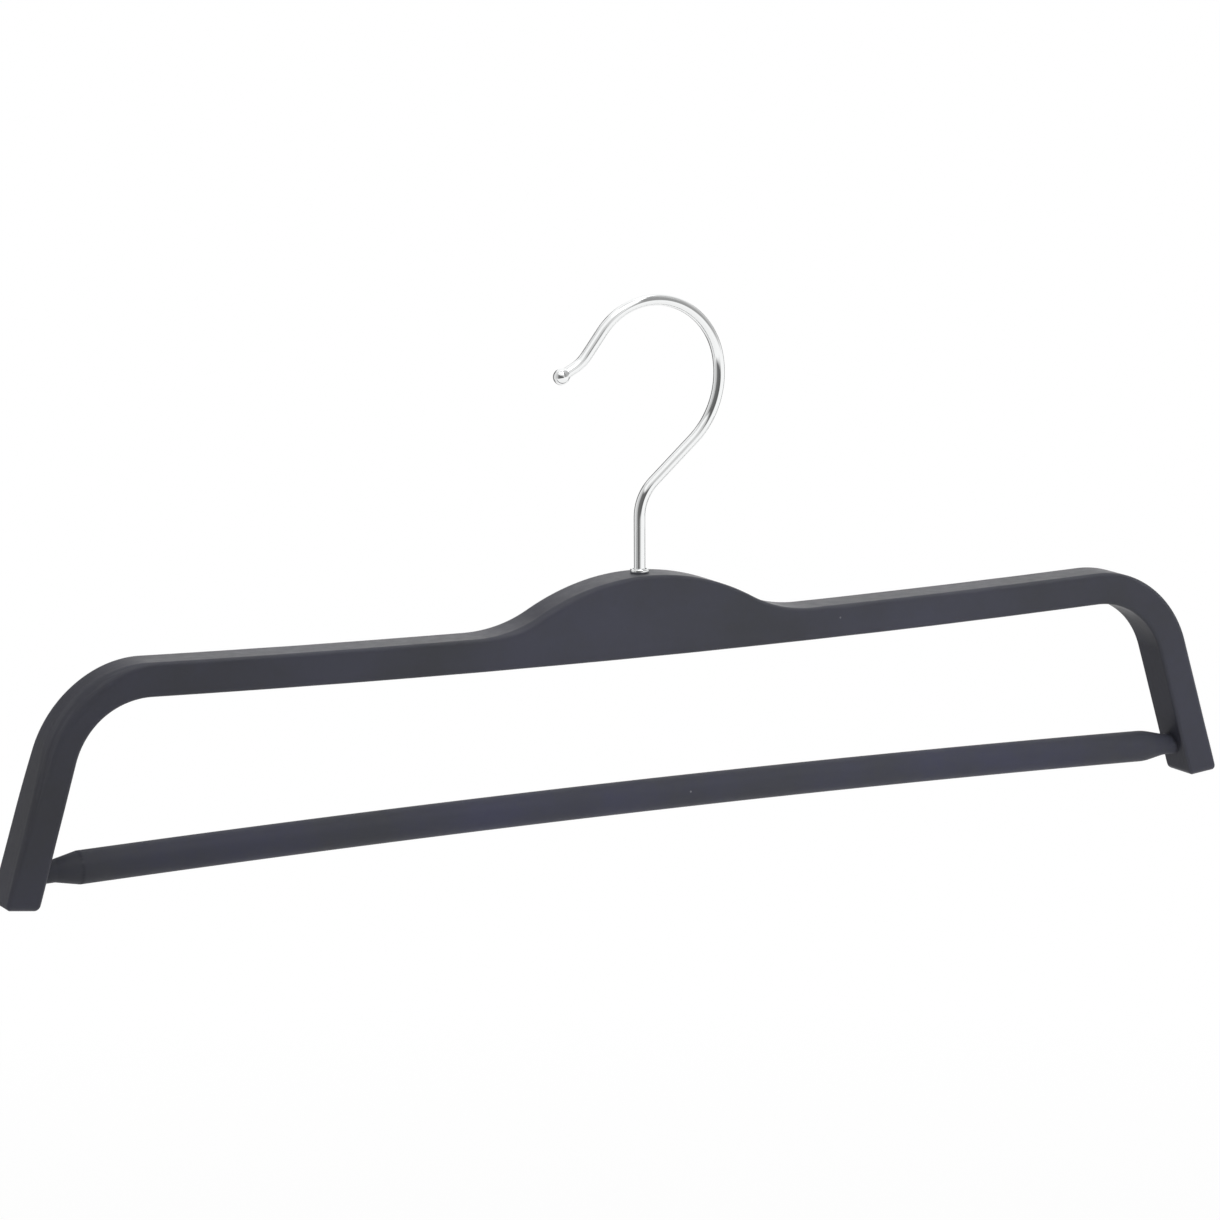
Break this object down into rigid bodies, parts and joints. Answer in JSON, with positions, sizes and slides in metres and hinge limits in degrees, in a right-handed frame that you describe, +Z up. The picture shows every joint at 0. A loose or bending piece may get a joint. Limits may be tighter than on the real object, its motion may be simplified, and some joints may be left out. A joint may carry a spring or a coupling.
{
  "type": "trouser hanger",
  "caption": "Slim bar hanger for trousers: bent wood frame with a raised crest and splayed legs, a round bar between the legs, and a wire hook that turns in the crest.",
  "frame": {"origin": "on the hook's turning axis, at the inside of the hook's upper bend, where a wardrobe rail carries it", "axes": "+X along the frame, away from the hook's open side; +Y to the frame's back; +Z up"},
  "size_m": [0.4162, 0.014, 0.1672],
  "materials": {
    "frame_lacquer": "matt soft-touch black lacquer on laminated wood",
    "bar_lacquer": "matt non-slip black lacquer on a turned wood bar",
    "chrome": "bright plated wire",
    "zinc_steel": "zinc plated",
    "nylon": "natural nylon"
  },
  "bodies": {
    "hook_body": {"hook": "chrome", "lock_nut": "zinc_steel", "lock_ring": "nylon"},
    "hanger_body": {"frame": "frame_lacquer", "trouser_bar": "bar_lacquer", "hook_bush": "chrome", "washer": "zinc_steel"}
  },
  "joints": [
    {"name": "hook_swivel", "type": "hinge", "parent": "hook_body", "child": "hanger_body", "pos_m": [0, 0, -0.081], "axis": [0, 0, 1], "continuous": true}
  ]
}
